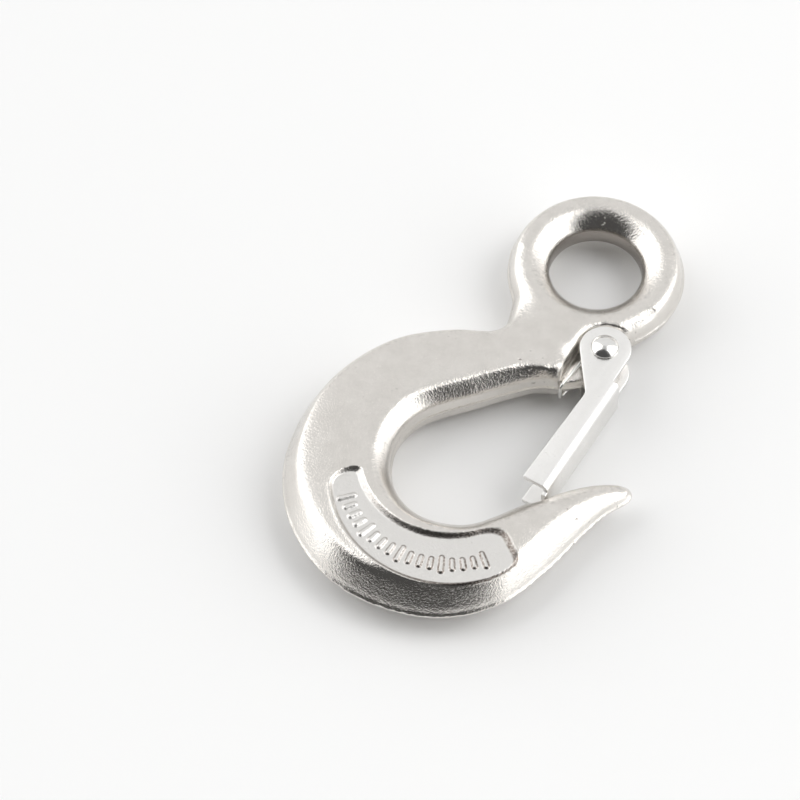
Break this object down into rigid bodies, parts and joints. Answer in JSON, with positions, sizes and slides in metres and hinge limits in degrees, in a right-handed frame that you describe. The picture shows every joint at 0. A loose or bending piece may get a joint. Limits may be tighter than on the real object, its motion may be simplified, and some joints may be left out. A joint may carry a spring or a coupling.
{
  "type": "eye hook with latch",
  "caption": "Cast steel lifting hook with a round eye, a bowl with a sunk panel, and a sprung sheet-metal latch riveted to its neck.",
  "frame": {"origin": "centre of the eye, in the middle of its thickness", "axes": "+Z square to the hook's face on the panel's side, +Y along the load line from the bowl to the eye, +X towards the point and the latch"},
  "size_m": [0.0684, 0.11, 0.0132],
  "materials": {
    "hook_steel": "tumbled stainless casting, satin flats and bright rounded edges",
    "latch_steel": "satin stainless sheet",
    "rivet_steel": "polished",
    "spring_steel": "drawn stainless wire"
  },
  "bodies": {
    "hook": {"hook_body": "hook_steel", "latch_spring": "spring_steel"},
    "latch": {"latch_plate": "latch_steel", "pivot_rivet": "rivet_steel"}
  },
  "joints": [
    {"name": "latch_hinge", "type": "hinge", "parent": "hook", "child": "latch", "pos_m": [0.01171, -0.01803, 0], "axis": [0, 0, -1], "range_deg": [0, 35], "stiffness_Nm_per_rad": 0.05, "springref_deg": -34.38, "deforming": ["latch_spring"]}
  ]
}
